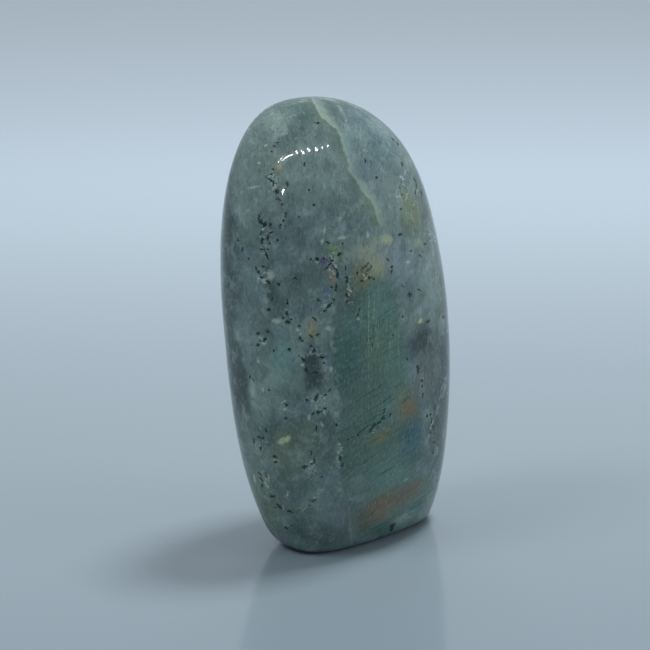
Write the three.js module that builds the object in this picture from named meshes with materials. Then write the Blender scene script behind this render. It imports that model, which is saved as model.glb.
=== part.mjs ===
// A polished labradorite freeform that stands on its own cut base: one natural stone, in millimetres, +Z up.
// X runs along its width and Y along its thickness, the broad face with the colour play looks towards -Y,
// and the origin is under the middle of the stone, on the surface that it stands on.

import * as THREE from "three";

// Driving dimensions
const HEIGHT = 90;
const WIDTH = 51.6;
const THICKNESS = 32;
const BELLY_HEIGHT = 45;
const BASE_WIDTH = 37.6;
const BASE_THICKNESS = 17.4;
const BASE_EDGE_RADIUS = 1.5;

// The base is narrower than the belly, and the side swells quickly above it
const TAPER_POWER = 3;

// The dome over the belly: how slowly it leaves the side, and how flat its crown is
const DOME_SIDE_POWER = 2.6;
const DOME_CROWN_POWER = 2.4;

// A section with a squareness of 2 is an ellipse, and a larger one has flatter sides and fuller corners
const SQUARENESS_BASE = 2.8;
const SQUARENESS_BELLY = 2.3;
const SQUARENESS_TOP = 2.1;

// From base to top, the middle of the section drifts sideways, and the crown leans over a little more
const LEAN_X = -6.1;
const LEAN_Y = 3.5;
const CROWN_LEAN_X = -3.9;
const CROWN_LEAN_POWER = 10;

// The faint unevenness that grinding by hand leaves, as two slow waves round the stone
const WAVE_HEIGHT = 0.2;
const FIRST_WAVE = { round: 3, up: -1.5, start: 1.2 };
const SECOND_WAVE = { round: 2, up: 1.8, start: 3.7 };

// How finely the surface is divided
const SEGMENTS_ROUND = 96;
const RINGS_EDGE = 4;
const RINGS_SIDE = 15;
const RINGS_DOME = 24;

// From 1 at the base to 0 at the belly and above
function nearnessToBase(z) {
  const below = Math.max(1 - z / BELLY_HEIGHT, 0);
  return below ** TAPER_POWER;
}

// From 0 at the belly and below to 1 at the top
function shareOfDome(z) {
  return Math.max(z - BELLY_HEIGHT, 0) / (HEIGHT - BELLY_HEIGHT);
}

// How far the rounded edge of the base draws the section in at a height
function edgeInset(z) {
  if (z >= BASE_EDGE_RADIUS) return 0;
  const below = BASE_EDGE_RADIUS - z;
  return BASE_EDGE_RADIUS - Math.sqrt(BASE_EDGE_RADIUS ** 2 - below ** 2);
}

// Half the full section's size along one axis at a height, before the dome draws it in
function halfSize(z, belly, base) {
  const near = nearnessToBase(z);
  return (belly * (1 - near) + base * near) / 2 - edgeInset(z);
}

function squareness(z) {
  const near = nearnessToBase(z);
  const dome = shareOfDome(z) ** 2;
  return SQUARENESS_BELLY + (SQUARENESS_BASE - SQUARENESS_BELLY) * near + (SQUARENESS_TOP - SQUARENESS_BELLY) * dome;
}

// One coordinate of a superellipse of half size 1
function rounded(value, power) {
  return Math.sign(value) * Math.abs(value) ** (2 / power);
}

function wave({ round, up, start }, angle, z) {
  return Math.sin(round * angle + (2 * Math.PI * up * z) / HEIGHT + start);
}

// The swell of the surface at an angle and height, nothing at the base and the top
function unevenness(angle, z) {
  const fade = Math.sin((Math.PI * z) / HEIGHT);
  return WAVE_HEIGHT * fade * (wave(FIRST_WAVE, angle, z) + wave(SECOND_WAVE, angle, z));
}

// The point of the stone at an angle round it, a height, and a share of the way out from the section's middle
function pointOfStone(angle, z, share) {
  const power = squareness(z);
  const swell = unevenness(angle, z);
  const rise = z / HEIGHT;
  const outX = (halfSize(z, WIDTH, BASE_WIDTH) + swell) * rounded(Math.cos(angle), power);
  const outY = (halfSize(z, THICKNESS, BASE_THICKNESS) + swell) * rounded(Math.sin(angle), power);
  const middleX = LEAN_X * (rise - 0.5) + CROWN_LEAN_X * rise ** CROWN_LEAN_POWER;
  const middleY = LEAN_Y * (rise - 0.5);
  return new THREE.Vector3(middleX + share * outX, middleY + share * outY, z);
}

// The turned profile: share of the way out against height, up the middle of the base, the edge, the side and the dome
function profile() {
  const points = [new THREE.Vector2(0, 0)];
  for (let i = 0; i < RINGS_EDGE; i++) {
    const turn = (Math.PI / 2) * (i / RINGS_EDGE);
    points.push(new THREE.Vector2(1, BASE_EDGE_RADIUS * (1 - Math.cos(turn))));
  }
  for (let i = 0; i < RINGS_SIDE; i++) {
    const rise = i / RINGS_SIDE;
    points.push(new THREE.Vector2(1, BASE_EDGE_RADIUS + rise * (BELLY_HEIGHT - BASE_EDGE_RADIUS)));
  }
  for (let i = 0; i < RINGS_DOME; i++) {
    const turn = (Math.PI / 2) * (i / RINGS_DOME);
    const height = BELLY_HEIGHT + (HEIGHT - BELLY_HEIGHT) * Math.sin(turn) ** (2 / DOME_SIDE_POWER);
    points.push(new THREE.Vector2(Math.cos(turn) ** (2 / DOME_CROWN_POWER), height));
  }
  points.push(new THREE.Vector2(0, HEIGHT));
  return points;
}

// The turned blank with each of its points carried out to the stone's surface, and centred over the origin
function stoneGeometry() {
  const geometry = new THREE.LatheGeometry(profile(), SEGMENTS_ROUND);
  geometry.rotateX(Math.PI / 2);
  const position = geometry.getAttribute("position");
  const point = new THREE.Vector3();
  for (let i = 0; i < position.count; i++) {
    point.fromBufferAttribute(position, i);
    const share = Math.hypot(point.x, point.y);
    const placed = pointOfStone(Math.atan2(point.y, point.x), point.z, share);
    position.setXYZ(i, placed.x, placed.y, placed.z);
  }
  geometry.computeBoundingBox();
  const middle = geometry.boundingBox.getCenter(new THREE.Vector3());
  geometry.translate(-middle.x, -middle.y, 0);
  geometry.computeVertexNormals();
  return geometry;
}

const polishedStone = new THREE.MeshStandardMaterial({ color: 0x64787a, roughness: 0.12, metalness: 0 });

const stone = new THREE.Mesh(stoneGeometry(), polishedStone);
stone.name = "stone";

const labradorite = new THREE.Group();
labradorite.add(stone);

export default labradorite;
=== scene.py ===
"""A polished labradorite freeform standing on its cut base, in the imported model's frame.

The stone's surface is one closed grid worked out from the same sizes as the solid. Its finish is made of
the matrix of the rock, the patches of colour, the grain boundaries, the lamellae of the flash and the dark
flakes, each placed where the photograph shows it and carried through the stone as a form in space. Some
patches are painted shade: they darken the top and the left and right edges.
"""
import functools
import logging
import math
from collections.abc import Sequence
from dataclasses import dataclass
from enum import Enum

import bpy
import numpy as np
from mathutils import Matrix, Vector
from mathutils.bvhtree import BVHTree


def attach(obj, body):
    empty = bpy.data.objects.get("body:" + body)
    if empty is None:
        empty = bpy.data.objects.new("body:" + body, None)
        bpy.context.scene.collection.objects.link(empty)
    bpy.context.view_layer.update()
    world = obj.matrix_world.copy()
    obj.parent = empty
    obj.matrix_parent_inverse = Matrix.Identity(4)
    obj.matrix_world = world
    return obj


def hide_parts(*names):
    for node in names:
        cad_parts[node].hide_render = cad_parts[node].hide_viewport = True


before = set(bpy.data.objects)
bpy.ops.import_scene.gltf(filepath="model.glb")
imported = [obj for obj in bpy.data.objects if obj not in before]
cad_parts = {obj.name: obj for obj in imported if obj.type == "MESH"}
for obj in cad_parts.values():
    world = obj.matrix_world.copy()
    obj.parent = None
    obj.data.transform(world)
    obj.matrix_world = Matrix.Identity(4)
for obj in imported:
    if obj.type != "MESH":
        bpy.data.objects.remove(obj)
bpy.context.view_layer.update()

log = logging.getLogger("labradorite")

MM = 0.001
PICTURE_SIDE = 650
PIXELS_PER_MM = 4.84


class Tone(Enum):
    """A colour as it is seen on the stone in soft daylight, as a hex code."""

    MATRIX = "4b616a"
    PALE = "7b9194"
    PALE_GREEN = "6c8382"
    GREY_GREEN = "5f7476"
    GREY = "536668"
    BLUE_GREY = "495c63"
    SLATE_GREY = "4f6269"
    OLIVE_GREY = "536459"
    DULL_TEAL = "4a5d5d"
    SLATE = "3e5053"
    DARK_SLATE = "303f43"
    DEEP = "26363a"
    OLIVE = "57685a"
    DARK_OLIVE = "40504a"
    OLIVE_GLOW = "829788"
    OLIVE_LIGHT = "5b6a5a"
    BEIGE = "737f76"
    LILAC = "5f727b"
    LILAC_BLUE = "64748a"
    YELLOW_GREEN = "768267"
    EARTH = "5c6149"
    BROWN_GREY = "646764"
    GOLD = "867a55"
    PURPLE_GREY = "434f54"
    PURPLE_DARK = "2b363b"
    TEAL_LIGHT = "5a797b"
    TEAL_GREY = "5c747c"
    FLASH_GREEN = "405954"
    FLASH_TEAL = "385757"
    FLASH_BRIGHT = "4a6a68"
    FLASH_LIGHT = "46655f"
    FLASH_OLIVE = "4a6152"
    FLASH_BLUE = "254e60"
    FLASH_DEEP = "2f4a48"
    STREAK = "7d9a7c"
    BROWN = "5f5346"
    ORANGE = "665843"
    YELLOW_BROWN = "5d6048"
    DARK_EARTH = "3f4744"
    VEIN = "879994"
    WISP = "8fa3a3"
    FLAKE = "1d2a29"
    FLECK = "9fb0ab"
    YELLOW = "9aa585"
    GREEN_SPOT = "63805c"
    PURPLE_SPOT = "4b4668"
    BLUE_SPOT = "3f5f8a"
    ROSE = "7d6a60"

    def linear(self) -> tuple[float, float, float]:
        """The colour's linear red, green and blue."""
        shares = [int(self.value[i:i + 2], 16) / 255 for i in (0, 2, 4)]
        return tuple(s / 12.92 if s <= 0.04045 else ((s + 0.055) / 1.055) ** 2.4 for s in shares)


class Cloud(Enum):
    """A cloudy noise: clouds to the millimetre, steps of detail, and each step's share of the last."""

    MATRIX = (0.08, 6, 0.62)
    OLIVE_DRIFT = (0.13, 4, 0.55)
    TEAL_DRIFT = (0.11, 4, 0.55)
    PURPLE_DRIFT = (0.12, 4, 0.55)
    BLOTCHES = (0.36, 5, 0.55)
    WISPS = (0.2, 4, 0.55)
    GRAIN = (2.1, 3, 0.7)
    LAMELLAE = (1.0, 3, 0.65)
    STREAKS = (1.0, 2, 0.6)
    DASHES = (2.2, 3, 0.7)
    BREAKS = (0.6, 4, 0.65)
    FAR_CRUMBS = (0.09, 3, 0.5)
    PALE_CRUMBS = (1.3, 3, 0.7)
    DARK_CRUMBS = (1.7, 3, 0.68)
    FRAYS = (3.2, 3, 0.65)
    POLISH = (0.5, 3, 0.5)
    RIPPLES = (0.45, 2, 0.5)


class Fade(Enum):
    """A smooth step: the values at which it starts and ends, and its height where that isn't 1."""

    CLOUDS = (0.36, 0.66)
    PALE_BLOTCHES = (0.51, 0.72, 0.34)
    DARK_BLOTCHES = (0.49, 0.28, 0.42)
    WISPS = (0.03, 0.0, 0.16)
    WISP_PLACES = (0.44, 0.60)
    PALE_GRAIN = (0.50, 0.82, 0.44)
    DARK_GRAIN = (0.50, 0.15, 0.85)
    BANDS = (0.50, 0.68, 0.55)
    PALE_LINES = (0.52, 0.78, 0.42)
    DARK_LINES = (0.49, 0.27, 1.0)
    STREAKS = (0.47, 0.62, 0.90)
    DASHES = (0.42, 0.58)
    LEFT_OF_CRACK = (-3.4, -0.2, 0.5)
    RIGHT_OF_CRACK = (2.6, 0.1, 0.30)
    BEFORE_CRACK = (0.1, -0.1)
    PAST_CRACK = (-0.1, 0.1)
    BREAKS = (0.47, 0.60)
    FAR_CRUMBS = (0.52, 0.66, 0.8)
    FAR_SIDE = (6.0, 12.0)
    PALE_CRUMBS = (0.73, 0.90, 0.60)
    DARK_CRUMBS = (0.73, 0.78, 0.90)
    PALE_FLECKS = (0.6, 1.2, 0.45)
    FLAKES = (1.22, 1.50, 0.94)
    POLISH = (0.3, 0.7, 0.02)
    # The floor's painted shade and painted light fade in over these two spans.
    NEAR_FLOOR_PAINTED_SHADE = (-0.12, 0.08)
    FAR_FLOOR_PAINTED_LIGHT = (0.05, 0.45)
    BACK_LIGHT = (-0.6, 0.7)


class Shift(Enum):
    """How a pattern is moved about by noise: the noise's scale, the reach in millimetres and its detail."""

    LOOSE = (0.16, 6.0, 5)
    RAGGED = (0.9, 1.2, 3)
    FINE = (2.6, 0.7, 3)


@dataclass(frozen=True)
class Viewpoint:
    """The place that the photograph was taken from, and its picture plane.

    Sizes are in millimetres and angles in degrees; the azimuth is 0 when looking along +Y.
    """

    azimuth: float = -45.0
    elevation: float = 14.0
    distance: float = 460.0
    focal_pixels: float = 2300.0
    aim: tuple[float, float, float] = (-3.5, 0.0, 44.1)

    def axes(self) -> np.ndarray:
        """The directions to the right, up and towards the camera, one in each row."""
        turn, rise = math.radians(self.azimuth), math.radians(self.elevation)
        out = np.array([math.sin(turn) * math.cos(rise), -math.cos(turn) * math.cos(rise), math.sin(rise)])
        right = np.array([math.cos(turn), math.sin(turn), 0.0])
        return np.stack([right, np.cross(out, right), out])

    def position(self) -> np.ndarray:
        """The camera's place in millimetres."""
        return np.array(self.aim) + self.distance * self.axes()[2]

    def ray(self, x: float, y: float) -> np.ndarray:
        """The direction of the line of sight through a pixel of the photograph."""
        middle = PICTURE_SIDE / 2
        sight = np.array([x - middle, middle - y, -self.focal_pixels]) @ self.axes()
        return sight / np.linalg.norm(sight)


@dataclass(frozen=True)
class Wave:
    """One slow wave of the surface: how often it runs round the stone and up it, and where it starts."""

    round: float
    up: float
    start: float

    def at(self, angle: np.ndarray, rise: np.ndarray) -> np.ndarray:
        """The wave's height, from -1 to 1, at an angle and a share of the stone's height."""
        return np.sin(self.round * angle + 2 * np.pi * self.up * rise + self.start)


@dataclass
class StoneBody:
    """The stone's surface as a grid of rings, in millimetres, from the same sizes as the solid."""

    height: float = 90.0
    width: float = 51.6
    thickness: float = 32.0
    belly_height: float = 45.0
    base_width: float = 37.6
    base_thickness: float = 17.4
    base_edge_radius: float = 1.5
    taper_power: float = 3.0
    dome_side_power: float = 2.6
    dome_crown_power: float = 2.4
    squareness_base: float = 2.8
    squareness_belly: float = 2.3
    squareness_top: float = 2.1
    lean: tuple[float, float] = (-6.1, 3.5)
    crown_lean: float = -3.9
    crown_lean_power: float = 10.0
    wave_height: float = 0.2
    waves: tuple[Wave, Wave] = (Wave(3, -1.5, 1.2), Wave(2, 1.8, 3.7))
    corner_turn: float = 150.0
    corner_across: float = 1.6
    corner_up: float = 2.6
    segments: int = 384
    edge_rings: int = 7
    side_rings: int = 112
    dome_rings: int = 112

    def profile(self) -> tuple[np.ndarray, np.ndarray]:
        """Heights and shares of the way out, from the middle of the base up to the crown.

        The base is two rings at height 0, the edge a quarter circle, the side evenly spaced heights, and
        the dome a superellipse: its height grows with the sine of a turn and its share shrinks with the
        cosine, each to its own power.

        Returns:
            The height of each ring in millimetres, and its share of the section's half size.
        """
        turn = np.linspace(0, np.pi / 2, self.edge_rings, endpoint=False)
        edge = self.base_edge_radius * (1 - np.cos(turn))
        side = np.linspace(self.base_edge_radius, self.belly_height, self.side_rings, endpoint=False)
        turn = np.linspace(0, np.pi / 2, self.dome_rings + 1)[:-1]
        rise = self.height - self.belly_height
        dome = self.belly_height + rise * np.sin(turn) ** (2 / self.dome_side_power)
        heights = np.concatenate([[0.0, 0.0], edge, side, dome])
        shares = np.ones_like(heights)
        shares[:2] = (0.45, 0.85)
        shares[-self.dome_rings:] = np.cos(turn) ** (2 / self.dome_crown_power)
        return heights, shares

    def points(self) -> np.ndarray:
        """The rings' points, centred over the origin.

        A ring is a superellipse: each axis is the half size there times the cosine or sine to the power of
        2 over the squareness. The half sizes blend from the base's to the belly's, less the quarter ellipse
        of the base's edge, which is broader at one corner, and the middle drifts with the height.

        Returns:
            An array of rings by segments by three coordinates, in millimetres.
        """
        heights, shares = self.profile()
        z, share = heights[:, None], shares[:, None]
        angle = np.linspace(0, 2 * np.pi, self.segments, endpoint=False)[None, :]
        rise = z / self.height
        near = np.clip(1 - z / self.belly_height, 0, None) ** self.taper_power
        dome = (np.clip(z - self.belly_height, 0, None) / (self.height - self.belly_height)) ** 2
        corner = np.clip(np.cos(angle - math.radians(self.corner_turn)), 0, None) ** 3
        below = np.clip(1 - z / (self.base_edge_radius + self.corner_up * corner), 0, None)
        inset = (self.base_edge_radius + self.corner_across * corner) * (1 - np.sqrt(1 - below ** 2))
        power = self.squareness_belly + (self.squareness_base - self.squareness_belly) * near
        power = power + (self.squareness_top - self.squareness_belly) * dome
        swell = self.wave_height * np.sin(np.pi * rise) * sum(w.at(angle, rise) for w in self.waves)
        half_x = (self.width * (1 - near) + self.base_width * near) / 2 - inset + swell
        half_y = (self.thickness * (1 - near) + self.base_thickness * near) / 2 - inset + swell
        cosine, sine = np.cos(angle), np.sin(angle)
        out_x = half_x * np.sign(cosine) * np.abs(cosine) ** (2 / power)
        out_y = half_y * np.sign(sine) * np.abs(sine) ** (2 / power)
        middle_x = self.lean[0] * (rise - 0.5) + self.crown_lean * rise ** self.crown_lean_power
        middle_y = self.lean[1] * (rise - 0.5)
        grid = np.stack([middle_x + share * out_x, middle_y + share * out_y, z + 0 * out_x], axis=-1)
        flat = grid.reshape(-1, 3)
        grid[..., :2] -= ((flat.min(0) + flat.max(0)) / 2)[:2]
        return grid

    def surface(self) -> tuple[np.ndarray, list[list[int]]]:
        """The closed surface: the rings' points, one point at each pole, and faces that look outwards.

        Returns:
            The vertices in millimetres, and the faces as lists of vertex numbers.
        """
        grid = self.points()
        rings, around = grid.shape[:2]
        base_middle = grid[0].mean(0)
        crown = np.array([*self.crown_point(grid), self.height])
        vertices = np.concatenate([grid.reshape(-1, 3), [base_middle, crown]])
        number = np.arange(rings * around).reshape(rings, around)
        after = np.roll(number, -1, axis=1)
        quads = np.stack([number[:-1], after[:-1], after[1:], number[1:]], axis=-1).reshape(-1, 4)
        base_number, crown_number = rings * around, rings * around + 1
        base = np.stack([after[0], number[0], np.full(around, base_number)], axis=-1)
        top = np.stack([number[-1], after[-1], np.full(around, crown_number)], axis=-1)
        return vertices, quads.tolist() + base.tolist() + top.tolist()

    @staticmethod
    def crown_point(grid: np.ndarray) -> np.ndarray:
        """The middle of the highest ring, which the crown's point stands over."""
        return grid[-1, :, :2].mean(0)

    def build(self) -> bpy.types.Object:
        """Makes the stone's mesh in metres, at the origin, shaded smooth."""
        vertices, faces = self.surface()
        mesh = bpy.data.meshes.new("polished_stone")
        mesh.from_pydata((vertices * MM).tolist(), [], faces)
        mesh.polygons.foreach_set("use_smooth", np.ones(len(faces), dtype=bool))
        mesh.update()
        stone = bpy.data.objects.new("polished_stone", mesh)
        bpy.context.scene.collection.objects.link(stone)
        log.info("polished_stone: %d vertices, %d faces", len(vertices), len(faces))
        return stone


@dataclass
class StoneInPicture:
    """Where a pixel of the photograph falls on the stone."""

    viewpoint: Viewpoint
    body: StoneBody

    def __post_init__(self) -> None:
        """Prepares the stone's surface for lines of sight."""
        vertices, faces = self.body.surface()
        self.tree = BVHTree.FromPolygons(vertices.tolist(), faces)

    def on_stone(self, x: float, y: float) -> tuple[Vector, Vector]:
        """The place on the stone that a pixel shows.

        Args:
            x: Pixels from the photograph's left edge.
            y: Pixels from its top edge.

        Returns:
            The point in millimetres and the outward normal there.
        """
        start = Vector(self.viewpoint.position())
        place, normal, _, _ = self.tree.ray_cast(start, Vector(self.viewpoint.ray(x, y)))
        if place is None:
            raise ValueError(f"pixel {x:.0f}, {y:.0f} isn't on the stone")
        return place, normal

    def in_view_axes(self, x: float, y: float) -> np.ndarray:
        """The place that a pixel shows, along the directions right, up and towards the camera."""
        place, _ = self.on_stone(x, y)
        return self.viewpoint.axes() @ np.array(place)


class Wire:
    """A value in the shader: a node's output, with arithmetic that adds the Math nodes."""

    def __init__(self, graph: "Graph", socket: bpy.types.NodeSocket) -> None:
        """Keeps the output and the graph that it belongs to."""
        self.graph = graph
        self.socket = socket

    def _math(self, operation: str, first: "Wire | float", second: "Wire | float") -> "Wire":
        """One Math node on two values."""
        return self.graph.node("ShaderNodeMath", {"operation": operation}, {0: first, 1: second})

    def __add__(self, other: "Wire | float") -> "Wire":
        """This value plus another."""
        return self._math("ADD", self, other)

    __radd__ = __add__

    def __sub__(self, other: "Wire | float") -> "Wire":
        """This value less another."""
        return self._math("SUBTRACT", self, other)

    def __rsub__(self, other: "Wire | float") -> "Wire":
        """Another value less this one."""
        return self._math("SUBTRACT", other, self)

    def __mul__(self, other: "Wire | float") -> "Wire":
        """This value times another."""
        return self._math("MULTIPLY", self, other)

    __rmul__ = __mul__

    def __truediv__(self, other: "Wire | float") -> "Wire":
        """This value over another."""
        return self._math("DIVIDE", self, other)

    def __abs__(self) -> "Wire":
        """This value without its sign."""
        return self._math("ABSOLUTE", self, 0.0)

    def most(self, other: "Wire | float") -> "Wire":
        """The larger of two values."""
        return self._math("MAXIMUM", self, other)


Link = Wire | float | Sequence[float]


class Graph:
    """A node tree, and the few kinds of node that the finishes are made of."""

    def __init__(self, owner: bpy.types.Material | bpy.types.World) -> None:
        """Empties the node tree of a material or a world."""
        owner.use_nodes = True
        self.tree = owner.node_tree
        self.tree.nodes.clear()

    def node(self, kind: str, settings: dict[str, object], inputs: dict[int | str, Link],
             output: int | str = 0) -> Wire:
        """Adds a node.

        Args:
            kind: The node's type.
            settings: Its properties, which are set first.
            inputs: Values or links of its inputs, by number or name.
            output: The output that is handed back, by number or name.

        Returns:
            The output as a value.
        """
        made = self.tree.nodes.new(kind)
        for key, value in settings.items():
            setattr(made, key, value)
        for key, value in inputs.items():
            if isinstance(value, Wire):
                self.tree.links.new(value.socket, made.inputs[key])
            else:
                made.inputs[key].default_value = value
        return Wire(self, made.outputs[output])

    def end(self, kind: str, shader: Wire) -> None:
        """Adds the node that the tree ends in, and links the shader to it."""
        self.tree.links.new(shader.socket, self.tree.nodes.new(kind).inputs["Surface"])

    def vector(self, operation: str, *inputs: Link, output: int = 0, scale: Link | None = None) -> Wire:
        """A Vector Math node; output 1 is its value where it has one."""
        links: dict[int | str, Link] = dict(enumerate(inputs))
        if scale is not None:
            links["Scale"] = scale
        return self.node("ShaderNodeVectorMath", {"operation": operation}, links, output)

    def length(self, vector: Wire) -> Wire:
        """The length of a vector."""
        return self.vector("LENGTH", vector, output=1)

    def noise(self, place: Wire, cloud: Cloud) -> Wire:
        """Cloudy noise of a kind, from about 0.25 to 0.75."""
        scale, detail, share = cloud.value
        links = {"Vector": place, "Scale": scale, "Detail": detail, "Roughness": share}
        return self.node("ShaderNodeTexNoise", {}, links)

    def step(self, value: Wire, low: float, high: float, top: float = 1.0) -> Wire:
        """Rises smoothly from 0 to top as the value goes from low to high, which may be the smaller."""
        settings = {"interpolation_type": "SMOOTHSTEP", "clamp": False}
        return self.node("ShaderNodeMapRange", settings, {0: value, 1: low, 2: high, 3: 0.0, 4: top})

    def fade(self, value: Wire, fade: Fade) -> Wire:
        """A smooth step between the bounds of a fade."""
        return self.step(value, *fade.value)

    def mix(self, share: Link, first: Link, second: Link, blend: str = "MIX") -> Wire:
        """Two colours mixed by a share of the second."""
        settings = {"data_type": "RGBA", "blend_type": blend, "clamp_factor": True}
        links = {0: share, 6: as_colour(first), 7: as_colour(second)}
        return self.node("ShaderNodeMix", settings, links, 2)

    def curve(self, value: Wire, across: Sequence[float], up: Sequence[float]) -> Wire:
        """A straight-sided curve through points, with both of their numbers from 0 to 1."""
        curved = self.node("ShaderNodeFloatCurve", {}, {"Value": value})
        mapping = curved.socket.node.mapping
        points = mapping.curves[0].points
        while len(points) < len(across):
            points.new(0.5, 0.5)
        for point, x, y in zip(points, across, up):
            point.location = (float(x), float(y))
            point.handle_type = "VECTOR"
        mapping.update()
        return curved

    def offset(self, place: Wire, shift: Shift) -> Wire:
        """A place moved about by three noises at once, by up to roughly half the reach each way."""
        scale, reach, detail = shift.value
        links = {"Vector": place, "Scale": scale, "Detail": detail}
        noises = self.node("ShaderNodeTexNoise", {}, links, "Color")
        moved = self.vector("SUBTRACT", noises, (0.5, 0.5, 0.5))
        return self.vector("ADD", place, self.vector("SCALE", moved, scale=reach))


def as_colour(value: Link) -> Link:
    """A colour with its alpha, or the link that was given."""
    return value if isinstance(value, Wire) or len(value) == 4 else (*value, 1.0)


@dataclass(frozen=True)
class Patch:
    """A soft patch of colour, placed by the pixel at its middle.

    The radii are in pixels, the turn in degrees anticlockwise. Softness is the share of the radius over
    which the patch fades, from 0 to 1, and depth its radius into the stone in millimetres.
    """

    x: float
    y: float
    across: float
    up: float
    tone: Tone
    strength: float
    turn: float = 0.0
    softness: float = 0.8
    depth: float = 14.0


@dataclass(frozen=True)
class Drift:
    """A faint drift of colour: its place in the noise in millimetres, the noise, its tone and strength.

    Low and high are the noise's values where it begins to show and where it shows fully.
    """

    shift: tuple[float, float, float]
    cloud: Cloud
    tone: Tone
    strength: float
    low: float = 0.50
    high: float = 0.68


@dataclass(frozen=True)
class Line:
    """A line on the stone through the pixels that it passes, for a grain boundary, a vein or a seam.

    Reach is how far it shows to each side in millimetres, core how far it is at its full strength, and
    strength how much of the rock it covers there.
    """

    pixels: tuple[tuple[float, float], ...]
    reach: float = 1.5
    core: float = 0.1
    strength: float = 0.28


@dataclass(frozen=True)
class Flake:
    """A flake: the pixel at its middle, half its length and width in pixels, and its turn in degrees."""

    x: float
    y: float
    long: float
    wide: float
    turn: float = 0.0


@dataclass(frozen=True)
class Zone:
    """A part of the stone that is full of crumbs: its middle and radii in pixels, its turn in degrees."""

    x: float
    y: float
    across: float
    up: float
    turn: float = 0.0


DRIFTS = (
    Drift((31.0, 7.0, 19.0), Cloud.OLIVE_DRIFT, Tone.OLIVE, 0.45),
    Drift((-17.0, 7.0, 19.0), Cloud.TEAL_DRIFT, Tone.TEAL_LIGHT, 0.35),
    Drift((67.0, 7.0, 19.0), Cloud.PURPLE_DRIFT, Tone.PURPLE_GREY, 0.35),
)

BROAD_PATCHES = (
    # The first patch is painted shade: it darkens the whole top against the light from above.
    Patch(305, 106, 84, 30, Tone.SLATE, 1.0, depth=30),
    Patch(258, 150, 29, 42, Tone.GREY, 0.60, turn=-16, depth=20),
    Patch(300, 185, 48, 36, Tone.GREY_GREEN, 0.60),
    Patch(324, 140, 20, 13, Tone.GREY, 0.60, turn=-20),
    Patch(374, 152, 34, 58, Tone.MATRIX, 0.85, turn=18, softness=0.7, depth=24),
    Patch(380, 131, 15, 7, Tone.TEAL_GREY, 0.75, turn=-40),
    Patch(392, 202, 24, 36, Tone.GREY_GREEN, 0.75),
    Patch(413, 214, 12, 28, Tone.OLIVE_LIGHT, 0.90, turn=10),
    Patch(330, 231, 14, 10, Tone.TEAL_LIGHT, 0.70),
    Patch(245, 190, 18, 44, Tone.GREY_GREEN, 0.70, turn=-8),
    Patch(300, 252, 36, 62, Tone.SLATE_GREY, 0.85, softness=0.7),
    Patch(306, 285, 24, 22, Tone.DULL_TEAL, 0.70),
    Patch(352, 222, 22, 26, Tone.BLUE_GREY, 0.60, turn=-30, softness=0.9),
    Patch(236, 275, 15, 80, Tone.BLUE_GREY, 0.75),
    Patch(270, 305, 16, 36, Tone.GREY, 0.60, softness=0.9),
    Patch(270, 393, 22, 22, Tone.GREY_GREEN, 0.75),
    Patch(288, 386, 14, 22, Tone.DULL_TEAL, 0.60),
    Patch(281, 358, 12, 26, Tone.TEAL_LIGHT, 0.95),
    Patch(270, 372, 12, 14, Tone.PALE_GREEN, 0.45, softness=0.9),
    Patch(243, 445, 10, 46, Tone.GREY, 0.80, turn=12),
    Patch(266, 428, 18, 16, Tone.SLATE, 0.70),
    Patch(325, 442, 15, 34, Tone.SLATE, 0.75),
    Patch(298, 438, 20, 18, Tone.DARK_OLIVE, 0.70),
    Patch(263, 453, 13, 14, Tone.GREY, 0.50),
    Patch(280, 466, 9, 21, Tone.DARK_OLIVE, 0.75),
    Patch(297, 486, 20, 18, Tone.SLATE, 0.60),
    Patch(262, 502, 14, 26, Tone.OLIVE, 0.40, turn=20),
    Patch(325, 495, 18, 24, Tone.GREY, 0.60),
    Patch(302, 531, 24, 15, Tone.SLATE, 0.75, turn=4, softness=0.7),
    Patch(330, 532, 18, 16, Tone.SLATE, 0.55),
    Patch(243, 382, 7, 44, Tone.DARK_SLATE, 0.90, turn=7, softness=0.7),
    Patch(286, 452, 36, 30, Tone.OLIVE_GREY, 0.60, softness=0.9),
    Patch(268, 505, 26, 36, Tone.OLIVE, 0.45, turn=24, softness=0.9),
    Patch(271, 288, 6, 26, Tone.DARK_SLATE, 0.60, softness=0.9),
    Patch(401, 262, 22, 26, Tone.LILAC, 0.85, softness=0.7),
    Patch(389, 251, 13, 9, Tone.LILAC_BLUE, 0.50, turn=-20, softness=1.0),
    Patch(371, 259, 20, 17, Tone.BEIGE, 0.80, turn=20, softness=1.0),
    Patch(378, 267, 9, 8, Tone.YELLOW_GREEN, 0.70, turn=20, softness=0.9),
    Patch(362, 279, 15, 9, Tone.EARTH, 0.85, turn=20),
    Patch(350, 292, 13, 13, Tone.DARK_OLIVE, 0.80, turn=30),
    Patch(428, 378, 15, 22, Tone.BROWN_GREY, 0.60, softness=0.9),
    Patch(422, 300, 18, 26, Tone.GREY_GREEN, 0.60),
    Patch(440, 292, 6, 52, Tone.OLIVE, 0.60),
    Patch(423, 343, 20, 19, Tone.PURPLE_DARK, 0.95),
    Patch(433, 374, 13, 26, Tone.SLATE, 0.75),
    Patch(436, 440, 11, 50, Tone.SLATE, 0.75),
    # These four deep strips hug the left and right edges: painted shade where the sides turn away.
    Patch(228, 260, 11, 90, Tone.DEEP, 0.85),
    Patch(232, 380, 9, 80, Tone.DEEP, 0.85, turn=5),
    Patch(447, 370, 13, 110, Tone.DEEP, 0.95),
    Patch(443, 275, 11, 52, Tone.DEEP, 0.65, turn=6, softness=0.9),
    Patch(426, 200, 9, 50, Tone.DULL_TEAL, 0.70, turn=14),
)

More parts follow.
